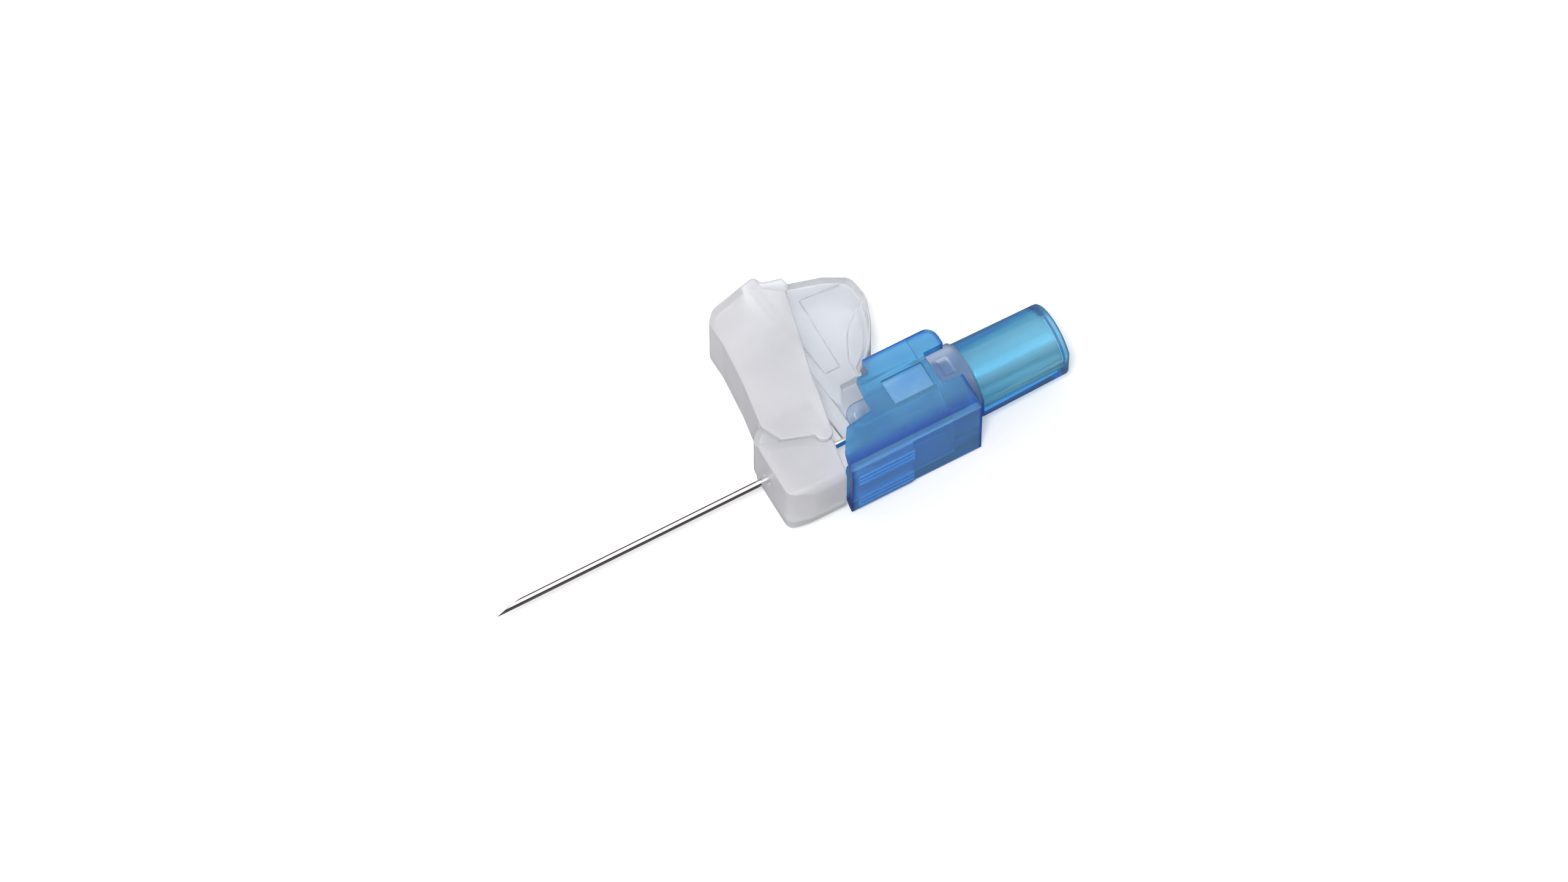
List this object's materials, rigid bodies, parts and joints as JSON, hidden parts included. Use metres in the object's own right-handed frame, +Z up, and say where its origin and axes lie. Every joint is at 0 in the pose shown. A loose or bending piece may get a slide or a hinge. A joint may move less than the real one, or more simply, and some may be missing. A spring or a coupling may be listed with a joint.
{
  "type": "safety hypodermic needle",
  "caption": "Steel hypodermic needle in a blue Luer hub with a clear folding shield that unfolds over the tip.",
  "frame": {"origin": "centre of the Luer socket's mouth, on the needle's axis", "axes": "+X along the needle from its tip to the hub's mouth, +Y towards the folded arms, +Z up as the needle lies on its side"},
  "size_m": [0.0592, 0.0232, 0.0088],
  "materials": {
    "steel": "polished",
    "blue_hub": "gloss",
    "clear_adhesive": "gloss",
    "clear_plastic": "gloss",
    "blue_collar": "satin",
    "frosted_plastic": "satin",
    "spring_steel": "satin"
  },
  "bodies": {
    "hub_assembly": {"luer_hub": "blue_hub", "needle_cannula": "steel", "glue_bead": "clear_adhesive", "shield_carrier": "clear_plastic", "collar": "blue_collar"},
    "rear_arm": {"rear_arm": "clear_plastic"},
    "front_arm": {"front_arm": "frosted_plastic"},
    "guard": {"needle_guard": "frosted_plastic", "lock_clip": "spring_steel"}
  },
  "joints": [
    {"name": "rear_arm_hinge", "type": "hinge", "parent": "hub_assembly", "child": "rear_arm", "pos_m": [-0.0206, 0.0003, 0], "axis": [0, 0, 1], "range_deg": [0, 83.5]},
    {"name": "front_arm_hinge", "type": "hinge", "parent": "rear_arm", "child": "front_arm", "pos_m": [-0.0225, 0.01705, 0], "axis": [0, 0, 1], "range_deg": [-167, 0]},
    {"name": "guard_hinge", "type": "hinge", "parent": "front_arm", "child": "guard", "pos_m": [-0.0244, 0.0003, 0], "axis": [0, 0, 1], "range_deg": [0, 83.5]}
  ],
  "couplings": [
    {"joint": "front_arm_hinge", "follows": "rear_arm_hinge", "ratio": -2},
    {"joint": "guard_hinge", "follows": "rear_arm_hinge", "ratio": 1}
  ]
}
